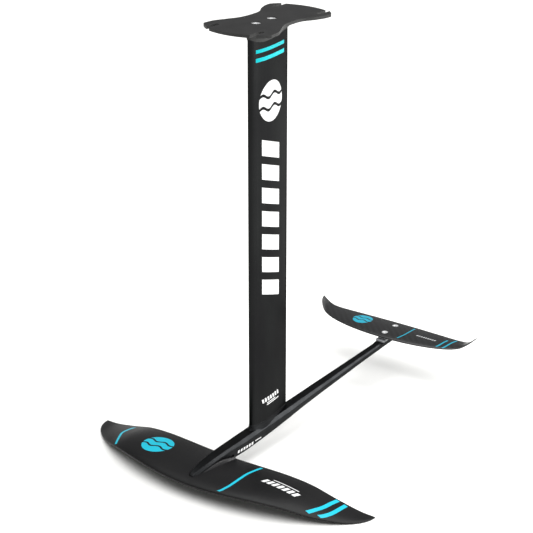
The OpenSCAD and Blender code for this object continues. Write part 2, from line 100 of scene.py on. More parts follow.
def startMaterial(name, look):
    # a Principled surface whose plain values sit on its own sockets
    material = bpy.data.materials.new(name)
    material.use_nodes = True
    tree = material.node_tree
    tree.nodes.clear()
    shader = addNode(tree, "BsdfPrincipled", inputs=look)
    addNode(tree, "OutputMaterial", inputs=[shader])
    place = addNode(tree, "TexCoord").outputs["Object"]
    inMm = addNode(tree, "VectorMath", "SCALE", {"Vector": place, "Scale": 1000})
    return material, tree, shader, inMm


def chain(tree, operation, values):
    # joins masks or heights with one kind of sum
    total = values[0]
    for value in values[1:]:
        total = addNode(tree, "Math", {"operation": operation}, [total, value])
    return total


def perMm(*sizes):
    # pattern lengths in mm along each axis, as the scale that they need
    return [1 / size for size in sizes]


def newObject(name, bm):
    bmesh.ops.recalc_face_normals(bm, faces=bm.faces)
    mesh = bpy.data.meshes.new(name)
    bm.to_mesh(mesh)
    bm.free()
    piece = bpy.data.objects.new(name, mesh)
    scene.collection.objects.link(piece)
    return piece


def addLoft(bm, rings, ladder=False):
    # closed solid through rings of equal count; ladder caps run straight across a symmetrical ring
    rows = [[bm.verts.new(p) for p in ring] for ring in rings]
    n = len(rings[0])
    for low, high in zip(rows, rows[1:]):
        for i in range(n):
            j = (i + 1) % n
            bm.faces.new((low[i], low[j], high[j], high[i]))
    for row in (rows[0], rows[-1]):
        if ladder:
            for i in range(n // 2):
                rung = [row[i], row[i + 1], row[n - 2 - i], row[n - 1 - i]]
                bm.faces.new(list(dict.fromkeys(rung)))
        else:
            bm.faces.new(row)


def loftObject(name, lofts, ladder=False):
    bm = bmesh.new()
    for rings in lofts:
        addLoft(bm, rings, ladder)
    return newObject(name, bm)


def settle(piece):
    # takes the modifiers' result as the mesh
    graph = bpy.context.evaluated_depsgraph_get()
    made = bpy.data.meshes.new_from_object(piece.evaluated_get(graph))
    old = piece.data
    piece.modifiers.clear()
    piece.data = made
    bpy.data.meshes.remove(old)


def combine(piece, tool, operation):
    change = piece.modifiers.new(operation.lower(), "BOOLEAN")
    change.operation = operation
    change.solver = "EXACT"
    change.object = tool
    settle(piece)
    mesh = tool.data
    bpy.data.objects.remove(tool)
    bpy.data.meshes.remove(mesh)


def softenEdges(piece, width, angle=40, steps=2, crease=30):
    # rounds the sharp edges, then shades so that flats stay flat
    bm = bmesh.new()
    bm.from_mesh(piece.data)
    bmesh.ops.remove_doubles(bm, verts=bm.verts, dist=mergeGap)
    bmesh.ops.dissolve_degenerate(bm, edges=bm.edges, dist=mergeGap)
    bm.to_mesh(piece.data)
    bm.free()
    if width:
        bevel = piece.modifiers.new("rounded edges", "BEVEL")
        bevel.width = width * mm
        bevel.segments = steps
        bevel.limit_method = "ANGLE"
        bevel.angle_limit = math.radians(angle)
        bevel.use_clamp_overlap = True
        settle(piece)
    piece.data.polygons.foreach_set("use_smooth", [True] * len(piece.data.polygons))
    piece.data.set_sharp_from_angle(angle=math.radians(crease))
    weigh = piece.modifiers.new("flat shading", "WEIGHTED_NORMAL")
    weigh.keep_sharp = True
    settle(piece)


def finishPiece(piece, node, material):
    piece.data.materials.clear()
    piece.data.materials.append(material)
    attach(piece, "root")
    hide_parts(node)
    low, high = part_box(node)
    gap = 0
    for k in range(3):
        along = [v.co[k] for v in piece.data.vertices]
        gap = max(gap, abs(min(along) - low[k]), abs(max(along) - high[k]))
    print(f"{piece.name}: {len(piece.data.polygons)} faces, box within {gap / mm:.2f} mm of {node}")


def blend(a, b, t):
    return a + (b - a) * t


def mirrored(side):
    return side + [(-x, y) for x, y in reversed(side) if abs(x) > 1e-9]


def smoothRow(rows, x, steady=False):
    # cubic through rows of (x, value, ...); steady never swings past a row
    i = max(k for k in range(len(rows) - 1) if k == 0 or x >= rows[k][0])
    width = rows[i + 1][0] - rows[i][0]
    t = (x - rows[i][0]) / width

    def slope(k, c):
        if k == 0 or k == len(rows) - 1:
            a, b = (0, 1) if k == 0 else (k - 1, k)
            return (rows[b][c] - rows[a][c]) / (rows[b][0] - rows[a][0])
        before = (rows[k][c] - rows[k - 1][c]) / (rows[k][0] - rows[k - 1][0])
        after = (rows[k + 1][c] - rows[k][c]) / (rows[k + 1][0] - rows[k][0])
        if not steady:
            return (rows[k + 1][c] - rows[k - 1][c]) / (rows[k + 1][0] - rows[k - 1][0])
        return 0 if before * after <= 0 else 2 * before * after / (before + after)

    return [
        rows[i][c] * (1 - 3 * t * t + 2 * t ** 3) + rows[i + 1][c] * (3 * t * t - 2 * t ** 3)
        + slope(i, c) * width * (t - 2 * t * t + t ** 3) + slope(i + 1, c) * width * (t ** 3 - t * t)
        for c in range(1, len(rows[0]))
    ]


def softRing(corners, radii, steps=4):
    # the polygon with each corner turned into a small bend
    ring = []
    n = len(corners)
    for i, corner in enumerate(corners):
        before, after = corners[i - 1], corners[(i + 1) % n]
        reachA = min(radii[i], 0.45 * (before - corner).length)
        reachB = min(radii[i], 0.45 * (after - corner).length)
        a = corner + (before - corner).normalized() * reachA
        b = corner + (after - corner).normalized() * reachB
        for k in range(steps + 1):
            t = k / steps
            ring.append((1 - t) ** 2 * a + 2 * t * (1 - t) * corner + t * t * b)
    return ring


def circle(radius, z, count, y=0):
    turns = [2 * math.pi * k / count for k in range(count)]
    return [Vector((radius * math.cos(a), y + radius * math.sin(a), z)) for a in turns]


def turnedRings(profile, y, matrix=upright):
    # circles for a turned shape on an axis at y, from rows of (radius, height) in mm
    return [[(matrix @ p) * mm for p in circle(r, z, 64, y)] for r, z in profile]


def foil(s):
    # half thickness of a symmetrical section as a share of its full thickness
    return 1.4845 * math.sqrt(s) - 0.63 * s - 1.758 * s * s + 1.4215 * s ** 3 - 0.518 * s ** 4


# camera, light and floor

studio = {
    "camera": (1.58054, -2.14826, 0.64108),
    "aim": (68.02, 0.0, 36.41),
    "lens": 112.46,
    "sky": "#ffffff",
    "skyStrength": 0.25,
    "floor": "#f6f6f4",
    "floorSize": 30.0,
    "floorDepth": 0.02,
    "floorGap": 0.0005,
    # kind, place, target, size in metres or the sun's width in degrees, power
    "lights": [
        ("overhead", "SUN", (0.5, -0.5, 3.4), (0, 0, -0.7), 75, 3.3),
        ("right", "AREA", (3.1, 0.9, 0.15), (0, 0, -0.1), 1.5, 30),
        ("back", "AREA", (1.8, 2.7, 1.3), (0, 0.05, -0.7), 1.4, 95),
    ],
}

camera = bpy.data.objects.new("camera", bpy.data.cameras.new("camera"))
camera.data.lens = studio["lens"]
camera.data.sensor_width = 36
camera.data.clip_end = 100
camera.location = studio["camera"]
camera.rotation_euler = [math.radians(a) for a in studio["aim"]]
scene.collection.objects.link(camera)
scene.camera = camera
scene.view_settings.view_transform = "Standard"

world = bpy.data.worlds.new("studio")
world.use_nodes = True
world.node_tree.nodes.clear()
sky = addNode(world.node_tree, "Background", inputs=[studio["sky"], studio["skyStrength"]])
addNode(world.node_tree, "OutputWorld", inputs=[sky])
scene.world = world

for name, kind, place, target, size, power in studio["lights"]:
    light = bpy.data.objects.new(name, bpy.data.lights.new(name, kind))
    if kind == "SUN":
        light.data.angle = math.radians(size)
    else:
        light.data.shape = "SQUARE"
        light.data.size = size
    light.data.energy = power
    light.location = place
    light.rotation_euler = (Vector(target) - Vector(place)).to_track_quat("-Z", "Y").to_euler()
    light.visible_camera = False
    scene.collection.objects.link(light)

# painted studio floor: matt, pale, with a roller's faint texture
floorMaterial, tree, shader, inMm = startMaterial("matt painted floor", {
    "Base Color": studio["floor"], "Roughness": 0.7, "IOR": 1.45,
})
grain = addNode(tree, "TexNoise", inputs={"Vector": inMm, "Scale": 1 / 25, "Detail": 3})
bump = addNode(tree, "Bump", inputs={"Strength": 0.02, "Distance": 0.0005, "Height": grain})
feed(tree, shader, {"Normal": bump})
floorReach = studio["floorSize"] / 2
floorZ = cadBox[0].z - studio["floorGap"]
floorCorners = [(x * floorReach, y * floorReach) for x, y in ((-1, -1), (1, -1), (1, 1), (-1, 1))]
floor = loftObject("studioFloor", [
    [[Vector((x, y, floorZ + z)) for x, y in floorCorners] for z in (-studio["floorDepth"], 0)]
])
floor.data.materials.append(floorMaterial)
print("camera, light and floor are set")


# printed marks, all in plain shapes
inkRoughness = 0.38

def bars(tree, along, across, start, end, middle, height, count, slant, share):
    # a row of leaning blocks between start and end
    lean = addNode(tree, "Math", "MULTIPLY_ADD", [across, slant, along])
    first = start + slant * middle
    pitch = (end - start) / count
    placed = addNode(tree, "Math", "SUBTRACT", [lean, first])
    steps = addNode(tree, "Math", "DIVIDE", [placed, pitch])
    part = addNode(tree, "Math", "FRACT", [steps])
    block = addNode(tree, "Math", "LESS_THAN", [part, share])
    reach = addNode(tree, "Math", "COMPARE", [steps, count / 2, count / 2])
    row = addNode(tree, "Math", "COMPARE", [across, middle, height / 2])
    return chain(tree, "MULTIPLY", [block, reach, row])


def patch(tree, across, along, middle, reach, alongMiddle, alongReach):
    # a plain rectangle
    sides = addNode(tree, "Math", "COMPARE", [across, middle, reach])
    ends = addNode(tree, "Math", "COMPARE", [along, alongMiddle, alongReach])
    return chain(tree, "MULTIPLY", [sides, ends])


# shares of the disc's radius, and radians of wave along one radius
roundelWaves = {"turns": 6.3, "swing": 0.1, "place": 0.3, "halfWidth": 0.075}


def roundel(tree, u, v, centre, radius):
    # a disc cut by two waves
    shiftU = addNode(tree, "Math", "SUBTRACT", [u, centre[0]])
    shiftV = addNode(tree, "Math", "SUBTRACT", [v, centre[1]])
    spot = addNode(tree, "CombineXYZ", inputs=[shiftU, shiftV])
    far = addNode(tree, "VectorMath", "LENGTH", [spot]).outputs["Value"]
    disc = addNode(tree, "Math", "LESS_THAN", [far, radius])
    turn = addNode(tree, "Math", "MULTIPLY", [shiftU, roundelWaves["turns"] / radius])
    wave = addNode(tree, "Math", "SINE", [turn])
    swing = -roundelWaves["swing"] * radius
    level = addNode(tree, "Math", "MULTIPLY_ADD", [wave, swing, shiftV])
    cut = chain(tree, "MAXIMUM", [
        addNode(tree, "Math", "COMPARE", [
            level, side * roundelWaves["place"] * radius, roundelWaves["halfWidth"] * radius])
        for side in (1, -1)])
    return addNode(tree, "Math", clampedMinus, [disc, cut])


def bentStripe(tree, across, along, points, width):
    # a stripe whose middle follows points of (across, along)
    alongs = [p[1] for p in points]
    acrosses = [p[0] for p in points]
    low, high = min(alongs), max(alongs)
    left, right = min(acrosses) - 1, max(acrosses) + 1
    share = addNode(tree, "MapRange", {"clamp": False},
                    {"Value": along, "From Min": low, "From Max": high})
    path = addNode(tree, "FloatCurve", inputs={"Value": share})
    handles = path.mapping.curves[0].points
    ordered = sorted(points, key=lambda p: p[1])
    while len(handles) < len(ordered):
        handles.new(0.5, 0.5)
    for handle, (x, y) in zip(handles, ordered):
        handle.location = ((y - low) / (high - low), (x - left) / (right - left))
    path.mapping.update()
    wanted = addNode(tree, "Math", "MULTIPLY_ADD", [path, right - left, left])
    near = addNode(tree, "Math", "COMPARE", [across, wanted, width / 2])
    ends = addNode(tree, "Math", "COMPARE", [share, 0.5, 0.5])
    return chain(tree, "MULTIPLY", [near, ends])


def printMarks(tree, shader, ground, groundRough, layers, metal=False):
    # lays inks over a ground colour; ink has its own roughness and isn't metal
    colour = ground
    layers = list(layers)
    for mask, ink in layers:
        colour = addNode(tree, "Mix", colourMix, {0: mask, 6: colour, 7: ink})
    feed(tree, shader, {"Base Color": colour})
    inked = chain(tree, "MAXIMUM", [mask for mask, ink in layers])
    rough = addNode(tree, "Mix", {"data_type": "FLOAT"}, {0: inked, 2: groundRough, 3: inkRoughness})
    feed(tree, shader, {"Roughness": rough})
    if metal:
        bare = addNode(tree, "Math", clampedMinus, [1.0, inked])
        feed(tree, shader, {"Metallic": bare})


def onTop(tree, mask):
    # keeps a mark off the underside
    normal = addNode(tree, "NewGeometry").outputs["True Normal"]
    height = addNode(tree, "SeparateXYZ", inputs=[normal]).outputs["Z"]
    top = addNode(tree, "Math", "GREATER_THAN", [height, 0.05])
    return chain(tree, "MULTIPLY", [mask, top])


# mast: hollow black anodised extrusion

mastShape = {
    "wall": 2.4,
    "edge": 1.6,
    "sidePoints": 44,
    "cells": [(0.035, 0.1), (0.13, 0.69), (0.72, 0.84)],
}
mastLow, mastHigh = (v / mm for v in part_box("mast"))
mastChord = mastHigh.y - mastLow.y
mastThickness = mastHigh.x - mastLow.x
mastMiddle = (mastHigh.y + mastLow.y) / 2


def mastHalf(s):
    return max(foil(s) * mastThickness, mastShape["edge"] / 2)


def mastOutline(grow=0.0):
    n = mastShape["sidePoints"]
    side = []
    for i in range(n, -1, -1):
        s = (1 - math.cos(math.pi * i / n)) / 2
        half = (0 if i == 0 else mastHalf(s)) + (0 if i == 0 else grow * min(1, 4 * s))
        side.append((half, mastLow.y - grow + s * (mastChord + 2 * grow)))
    return mirrored(side)


def cellOutline(cell, gap=0.0, steps=14):
    side = []
    for i in range(steps + 1):
        start, end = (mastLow.y + share * mastChord for share in cell)
        y = blend(start + gap, end - gap, i / steps)
        side.append((mastHalf((y - mastLow.y) / mastChord) - mastShape["wall"] - gap, y))
    return mirrored(side)


def hollowPrism(name, outer, inners, low, high):
    bm = bmesh.new()
    edges = []
    for outline in [outer] + inners:
        ring = [bm.verts.new((x * mm, y * mm, low * mm)) for x, y in outline]
        edges += [bm.edges.new((ring[i - 1], ring[i])) for i in range(len(ring))]
    bmesh.ops.triangle_fill(bm, use_beauty=True, edges=edges)
    made = bmesh.ops.extrude_face_region(bm, geom=bm.faces[:])
    moved = [g for g in made["geom"] if isinstance(g, bmesh.types.BMVert)]
    bmesh.ops.translate(bm, verts=moved, vec=(0, 0, (high - low) * mm))
    return newObject(name, bm)


mastLook = {
    "ground": "#1e1e1f",
    "groundLight": "#262727",
    "inks": ("#00c5cd", "#e8e8e8"),
    # middle and half width along the mast, in mm; both run over the same part of the chord
    "stripes": [(-45.4, 3.0), (-60.0, 3.3)],
    "stripeReach": (-2.2, 42.2),
    "roundel": ((-3.0, -136.0), 35.0),
    "bars": (-484.0, -192.0, -4.0, 54.0, 7, 0.34, 0.66),
    "note": (-31.0, 25.0, -681.0, 8.0, 7, 0.3, 0.62),
    "lines": [(-3.0, 14.0, -688.5, 0.9), (3.0, 20.0, -692.0, 0.9)],
}

# black anodised extruded aluminium: satin, with the die's faint lines running the length of the mast
mastMaterial, tree, shader, inMm = startMaterial("black anodised aluminium, extruded", {
    "Base Color": mastLook["ground"], "Roughness": 0.34, "Metallic": 1.0,
    "Specular IOR Level": 0.15, "Specular Tint": (0.53, 0.53, 0.53, 1),
})
spot = addNode(tree, "SeparateXYZ", inputs=[inMm])
mastY, mastZ = spot.outputs["Y"], spot.outputs["Z"]
# die lines are 0.1 to 0.3 mm apart; drawn 1.6 mm apart so that they show
dieLines = addNode(tree, "TexNoise", inputs={
    "Vector": addNode(tree, "VectorMath", "MULTIPLY", [inMm, perMm(1.6, 1.6, 700)]),
    "Scale": 1, "Detail": 3, "Roughness": 0.6})
# the dye takes a little unevenly, over patches some 60 mm across
dye = addNode(tree, "TexNoise", inputs={
    "Vector": addNode(tree, "VectorMath", "MULTIPLY", [inMm, perMm(60, 60, 160)]),
    "Scale": 1, "Detail": 2})
# etched grain of 0.15 mm, drawn at 0.8 mm
etch = addNode(tree, "TexNoise", inputs={"Vector": inMm, "Scale": 1 / 0.8, "Detail": 2})
shade = chain(tree, "MULTIPLY", [dye, dieLines])
tint = addNode(tree, "MapRange", inputs={"Value": shade, "From Min": 0.12, "From Max": 0.4})
ground = addNode(tree, "Mix", colourMix, {0: tint, 6: mastLook["ground"], 7: mastLook["groundLight"]})
rough = addNode(tree, "MapRange", inputs={
    "Value": dieLines, "From Min": 0.3, "From Max": 0.7, "To Min": 0.28, "To Max": 0.38})
stripes = chain(tree, "MAXIMUM", [
    patch(tree, mastY, mastZ, *mastLook["stripeReach"], middle, reach)
    for middle, reach in mastLook["stripes"]])
wordBars = bars(tree, mastZ, mastY, *mastLook["bars"])
noteBars = bars(tree, mastY, mastZ, *mastLook["note"])
noteLines = [patch(tree, mastY, mastZ, *line) for line in mastLook["lines"]]
white = chain(tree, "MAXIMUM", [
    roundel(tree, mastY, mastZ, *mastLook["roundel"]), wordBars, noteBars, *noteLines])
printMarks(tree, shader, ground, rough, zip((stripes, white), mastLook["inks"]), metal=True)
relief = chain(tree, "ADD", [dieLines, etch])
bump = addNode(tree, "Bump", inputs={"Strength": 0.06, "Distance": 0.0004, "Height": relief})
feed(tree, shader, {"Normal": bump})

mastCells = [cellOutline(cell) for cell in mastShape["cells"]]
mast = hollowPrism("mastSection", mastOutline(), mastCells, mastLow.z, mastHigh.z)
softenEdges(mast, 0.15, angle=60)
finishPiece(mast, "mast", mastMaterial)

# nitrile rubber sheet, die cut: matt, with a fine talc bloom
gasketMaterial, tree, shader, inMm = startMaterial("nitrile rubber, die cut", {
    "Base Color": "#161617", "Roughness": 0.85, "IOR": 1.52,
})
bloom = addNode(tree, "TexNoise", inputs={"Vector": inMm, "Scale": 1 / 2.5, "Detail": 4})
tint = addNode(tree, "Mix", colourMix, {0: bloom, 6: "#121213", 7: "#202122"})
feed(tree, shader, {"Base Color": tint})
bump = addNode(tree, "Bump", inputs={"Strength": 0.2, "Distance": 0.0003, "Height": bloom})
feed(tree, shader, {"Normal": bump})
for name, node in (("headGasket", "mast_head_gasket"), ("footGasket", "mast_foot_gasket")):
    low, high = (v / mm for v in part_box(node))
    gasket = hollowPrism(name, mastOutline(), [cellOutline(mastShape["cells"][1])], low.z, high.z)
    softenEdges(gasket, 0.12, angle=60)
    finishPiece(gasket, node, gasketMaterial)
print("mast and gaskets are made")


# screws, turned and with a hex socket

# socket and thread as shares of the screw's size; the rim is the straight part above the cone, in mm
screwShape = {"threadDepth": 0.09, "socketWidth": 0.63, "socketDepth": 0.4, "segments": 48, "rim": 0.4}


def addScrew(bm, size, length, place, facing, matrix):
    # head face at place, shank running against facing (1 up, -1 down)
    n = screwShape["segments"]
    head, shank = size, size / 2
    socket = screwShape["socketWidth"] * size / 2
    deep = screwShape["socketDepth"] * size

    def hexagon(apothem, z):
        ring = []
        for k in range(n):
            angle = 2 * math.pi * k / n
            near = (angle + math.pi / 6) % (math.pi / 3) - math.pi / 6
            r = apothem / math.cos(near)
            ring.append(Vector((r * math.cos(angle), r * math.sin(angle), z)))
        return ring

    # drill point and socket, then the face with its rounded edge
    rings = [circle(socket * 0.15, -deep - socket * 0.3, n), hexagon(socket, -deep)]
    rings += [hexagon(socket, -0.35), hexagon(socket + 0.3, 0), circle(head * 0.82, 0, n)]
    rings += [circle(r, z, n) for r, z in ((head - 0.35, -0.02), (head - 0.08, -0.14), (head, -0.3))]
    rings += [circle(head, -screwShape["rim"], n)]
    neck = -screwShape["rim"] - (head - shank)
    rings += [circle(shank, neck, n), circle(shank, neck - 1, n)]
    pitch = 1.25 if size > 7 else 1.0
    root = shank * (1 - screwShape["threadDepth"])
    z = neck - 1
    while z > -length + pitch:
        rings += [circle(root, z - 0.5 * pitch, n), circle(shank, z - pitch, n)]
        z -= pitch
    rings += [circle(shank - 0.5, -length, n)]
    turned = []
    for ring in rings:
        turned.append([matrix @ (place + Vector((p.x, p.y * facing, p.z * facing))) for p in ring])
    addLoft(bm, turned)


def screwPiece(name, node, size, length, places, facing, matrix):
    bm = bmesh.new()
    for place in places:
        addScrew(bm, size, length, Vector(place), facing, matrix)
    for v in bm.verts:
        v.co *= mm
    piece = newObject(name, bm)
    softenEdges(piece, 0, crease=28)
    finishPiece(piece, node, steelMaterial)
    return piece


# stainless steel, turned: bright, with rings from the tool 0.1 mm apart, drawn at 0.5 mm
steelMaterial, tree, shader, inMm = startMaterial("stainless steel, turned", {
    "Base Color": "#e4e5e6", "Metallic": 0.75, "Roughness": 0.45,
})
lathe = addNode(tree, "TexNoise", inputs={"Vector": inMm, "Scale": 1 / 0.5, "Detail": 3})
rough = addNode(tree, "MapRange", inputs={"Value": lathe, "To Min": 0.38, "To Max": 0.52})
feed(tree, shader, {"Roughness": rough})
tint = addNode(tree, "Mix", colourMix, {0: lathe, 6: "#dcdedf", 7: "#f6f6f6"})
feed(tree, shader, {"Base Color": tint})
bump = addNode(tree, "Bump", inputs={"Strength": 0.08, "Distance": 0.0002, "Height": lathe})
feed(tree, shader, {"Normal": bump})

fasteners = {
    "mastScrew": 8.0, "wingScrew": 6.0, "mastSpacing": 42.0, "middle": -11.8,
    "plateLength": 40.0, "fuselageLength": 35.0, "wingLength": 18.0, "stabiliserLength": 16.0,
    "gap": 0.25,
}
mastScrewY = [mastMiddle + fasteners["middle"] + k * fasteners["mastSpacing"] / 2 for k in (-1, 1)]
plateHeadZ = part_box("plate_screws")[1].z / mm
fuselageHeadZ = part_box("fuselage_screws")[0].z / mm
screwPiece("plateScrews", "plate_screws", fasteners["mastScrew"], fasteners["plateLength"],
           [(0, y, plateHeadZ) for y in mastScrewY], 1, upright)
screwPiece("fuselageScrews", "fuselage_screws", fasteners["mastScrew"], fasteners["fuselageLength"],
           [(0, y, fuselageHeadZ) for y in mastScrewY], -1, upright)
print("mast screws are made")


def sunkHole(size, face, facing, start, end):
    # rows of (radius, height) from start to end, round a screw whose face and facing are given
    head, shank = size + fasteners["gap"], size / 2 + fasteners["gap"]
    neck = face - facing * screwShape["rim"]
    return [(head, start), (head, neck), (shank, neck - facing * (head - shank)), (shank, end)]


# board plate: slab with four open slots and a flared boss

plateShape = {
    "thickness": 5.0, "waist": 84.0, "slotSpacing": 90.0, "slotWidth": 8.6, "screwSpacing": 165.0,
    "rearNarrower": 5.0, "socketFloor": 8.0, "bossDepth": 31.0, "bossFlare": 27.0, "bossEndFlare": 14.0,
    "bossRise": 10.0, "bossLip": 1.6, "edge": 0.7,
}
plateLow, plateHigh = (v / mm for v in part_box("mast_plate"))
plateEnd = (plateHigh.y - plateLow.y) / 2
lobe = plateHigh.x
waist = plateShape["waist"] / 2
rearLobe = lobe - plateShape["rearNarrower"]
slotX = plateShape["slotSpacing"] / 2
plateSides = [
    (-plateEnd + 29, lobe), (-plateEnd + 51, lobe - 2.5), (-plateEnd + 73, blend(waist, lobe, 0.5)),
    (-plateEnd + 95, waist + 3), (8, waist), (plateEnd - 79, waist + 2),
    (plateEnd - 58, blend(waist, rearLobe, 0.6)), (plateEnd - 40, rearLobe - 2),
    (plateEnd - 25, rearLobe),
]


def plateTip(halfWidth, shoulder, cut):
    tip = [(x / 20 * (slotX - 4), plateEnd - 7.5 * (x / 20) ** 2) for x in range(0, 21)]
    a = Vector((slotX + 4, plateEnd - cut))
    b = Vector((halfWidth - 2, blend(plateEnd - cut, shoulder, 0.45 + cut / 50)))
    c = Vector((halfWidth, shoulder))
    for k in range(17):
        t = k / 16
        p = (1 - t) ** 2 * a + 2 * t * (1 - t) * b + t * t * c
        tip.append((p.x, p.y))
    return tip


def plateOutline():
    side = [(x, -y) for x, y in plateTip(lobe, -plateSides[0][0], 12)]
    for i in range(1, 72):
        y = blend(plateSides[0][0], plateSides[-1][0], i / 72)
        side.append((smoothRow(plateSides, y)[0], y))
    side += reversed(plateTip(rearLobe, plateSides[-1][0], 8))
    return mirrored(side)


def bossRing(t):
    outline = mastOutline(plateShape["bossLip"])
    sideGrow = plateShape["bossFlare"] * t ** 1.7
    endGrow = plateShape["bossEndFlare"] * t ** 2.4
    ring = []
    for x, y in outline:
        bulge = abs(x) / (mastThickness / 2 + plateShape["bossLip"])
        low = -plateShape["bossDepth"] + plateShape["bossRise"] * (1 - bulge)
        wideX = x + math.copysign(sideGrow * bulge, x)
        longY = mastMiddle + (y - mastMiddle) * (1 + endGrow / (mastChord / 2))
        ring.append(Vector((wideX, longY, blend(low, 1 - plateShape["thickness"], t))) * mm)
    return ring


def flatRing(outline, z):
    return [Vector((x, y, z)) * mm for x, y in outline]


def slotOutline(sideX, end):
    # round inner end, mouth past the plate's edge
    stop = plateShape["screwSpacing"] / 2 - 2.5
    r = plateShape["slotWidth"] / 2
    ring = [(r * math.cos(a), stop - r * math.sin(a)) for a in (math.pi * k / 24 for k in range(25))]
    ring = [(-x, y) for x, y in ring] + [(r, stop + 60), (-r, stop + 60)]
    return [(sideX * slotX + x, end * y) for x, y in ring]


plate = loftObject("boardPlate", [[flatRing(plateOutline(), z) for z in (-plateShape["thickness"], 0)]])
boss = loftObject("boss", [[bossRing(i / 20) for i in range(20, -1, -1)]], ladder=True)
combine(plate, boss, "UNION")
cutters = []
for sideX in (-1, 1):
    for end in (-1, 1):
        cutters.append([flatRing(slotOutline(sideX, end), z) for z in (-12, 3)])
for y in mastScrewY:
    cutters.append(turnedRings(sunkHole(fasteners["mastScrew"], plateHeadZ, 1, 2, -12), y))
cutters.append([flatRing(mastOutline(0.15), z) for z in (-40, -plateShape["socketFloor"])])
combine(plate, loftObject("cuts", cutters), "DIFFERENCE")
softenEdges(plate, plateShape["edge"], angle=50, steps=3, crease=32)

plateLook = {"ground": "#3c3c3c", "light": "#464646", "worn": "#6a6b6c"}
# hard anodised aluminium, bead blasted: flat dark grey with a fine even grit and paler rubbed edges
plateMaterial, tree, shader, inMm = startMaterial("hard anodised aluminium, bead blasted", {
    "Base Color": plateLook["ground"], "Metallic": 0.9, "Roughness": 0.55,
})
# blasting grit leaves pits of 0.15 mm; drawn at 1.1 mm
grit = addNode(tree, "TexNoise", inputs={
    "Vector": inMm, "Scale": 1 / 1.1, "Detail": 3, "Roughness": 0.65})
cloud = addNode(tree, "TexNoise", inputs={"Vector": inMm, "Scale": 1 / 35, "Detail": 3})
shade = chain(tree, "MULTIPLY", [grit, cloud])
tint = addNode(tree, "MapRange", inputs={"Value": shade, "From Min": 0.15, "From Max": 0.38})
ground = addNode(tree, "Mix", colourMix, {0: tint, 6: plateLook["ground"], 7: plateLook["light"]})
point = addNode(tree, "NewGeometry").outputs["Pointiness"]
edge = addNode(tree, "MapRange", inputs={
    "Value": point, "From Min": 0.56, "From Max": 0.68, "To Max": 0.5})
worn = addNode(tree, "Mix", colourMix, {0: edge, 6: ground, 7: plateLook["worn"]})
feed(tree, shader, {"Base Color": worn})
rough = addNode(tree, "MapRange", inputs={"Value": grit, "To Min": 0.5, "To Max": 0.62})
feed(tree, shader, {"Roughness": rough})
bump = addNode(tree, "Bump", inputs={"Strength": 0.12, "Distance": 0.0004, "Height": grit})
feed(tree, shader, {"Normal": bump})
finishPiece(plate, "mast_plate", plateMaterial)
print("board plate is made")


# fuselage: long machined body with a bevelled back, nose tang and collar

pitch = math.radians(2.24)
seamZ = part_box("mast_foot_gasket")[0].z / mm
alongBody = Matrix.Translation((0, 0, seamZ)) @ Matrix.Rotation(pitch, 4, "X")

body = {
    "top": -6.0, "height": 26.0, "width": 30.0, "tailWidth": 18.0, "tailHeight": 12.5, "nose": -222.0,
    "tail": 441.0, "bevelDrop": 6.0, "tangFloor": -20.0, "wingRear": -120.0, "tangStart": -119.8,
    "seatFront": 366.0, "collarDepth": 15.0, "collarLip": 0.7, "collarEndFlare": 12.0, "gap": 0.15,
    "headRoom": 12.0,
}
halfWide = body["width"] / 2
tailHalf = body["tailWidth"] / 2
topHalf = 0.6 * halfWide
belly = body["top"] - body["height"]
tailBelly = body["top"] - body["tailHeight"]
noseRows = [
    (body["nose"], 3.2, 5.6, -16.5), (body["nose"] + 5, 4.6, 7.6, -13.6),
    (body["nose"] + 16, 0.4 * halfWide, 0.64 * halfWide, -11),
    (body["nose"] + 36, 0.5 * halfWide, 0.76 * halfWide, -8.4),
    (body["nose"] + 62, 0.56 * halfWide, 0.84 * halfWide, -6.6),
    (body["tangStart"], topHalf, 0.9 * halfWide, body["top"]),
]
bodyRows = [(*row, belly) for row in noseRows] + [
    (-84, topHalf, halfWide, body["top"], belly),
    (-26, topHalf, halfWide, body["top"], belly + 1.4),
    (35, 0.96 * topHalf, 0.98 * halfWide, body["top"], blend(belly, tailBelly, 0.31)),
    (82, 0.9 * topHalf, 0.9 * halfWide, body["top"], blend(belly, tailBelly, 0.5)),
    (139, blend(0.55 * tailHalf, topHalf, 0.7), blend(tailHalf, halfWide, 0.55), body["top"],
     blend(belly, tailBelly, 0.63)),
    (219, blend(0.55 * tailHalf, topHalf, 0.45), blend(tailHalf, halfWide, 0.32), body["top"],
     blend(belly, tailBelly, 0.77)),
    (330, 0.64 * tailHalf, tailHalf, body["top"], blend(belly, tailBelly, 0.92)),
    (body["seatFront"] - 14, 0.66 * tailHalf, tailHalf, body["top"], blend(belly, tailBelly, 0.95)),
    (body["seatFront"] - 2, 0.84 * tailHalf, tailHalf, body["top"], blend(belly, tailBelly, 0.97)),
    (body["tail"] - 6, 0.84 * tailHalf, tailHalf, body["top"], tailBelly),
    (body["tail"], 0.84 * tailHalf - 2, tailHalf - 3, body["top"], tailBelly + 3),
]


def bodyRing(y, grow=0.0, bottom=None):
    flatHalf, wide, top, low = smoothRow(bodyRows, y, steady=True)
    flatHalf, wide, top = flatHalf + grow, wide + grow, top + grow
    drop = min(body["bevelDrop"], (wide - flatHalf) * 1.15)
    if bottom is None:
        side = [(flatHalf, top), (wide, top - drop), (wide, low + 4), (0.55 * wide, low)]
        radii = [0.9, 1.4, 2.0, 2.0]
    else:
        side = [(flatHalf, top), (wide, top - drop)]
        side += [(wide, blend(top - drop, bottom, 0.7)), (wide, bottom)]
        radii = [0.9, 1.4, 0.5, 0.2]
    corners = [Vector((x, y, z)) for x, z in side] + [Vector((-x, y, z)) for x, z in reversed(side)]
    return [(alongBody @ p) * mm for p in softRing(corners, radii + radii[::-1])]


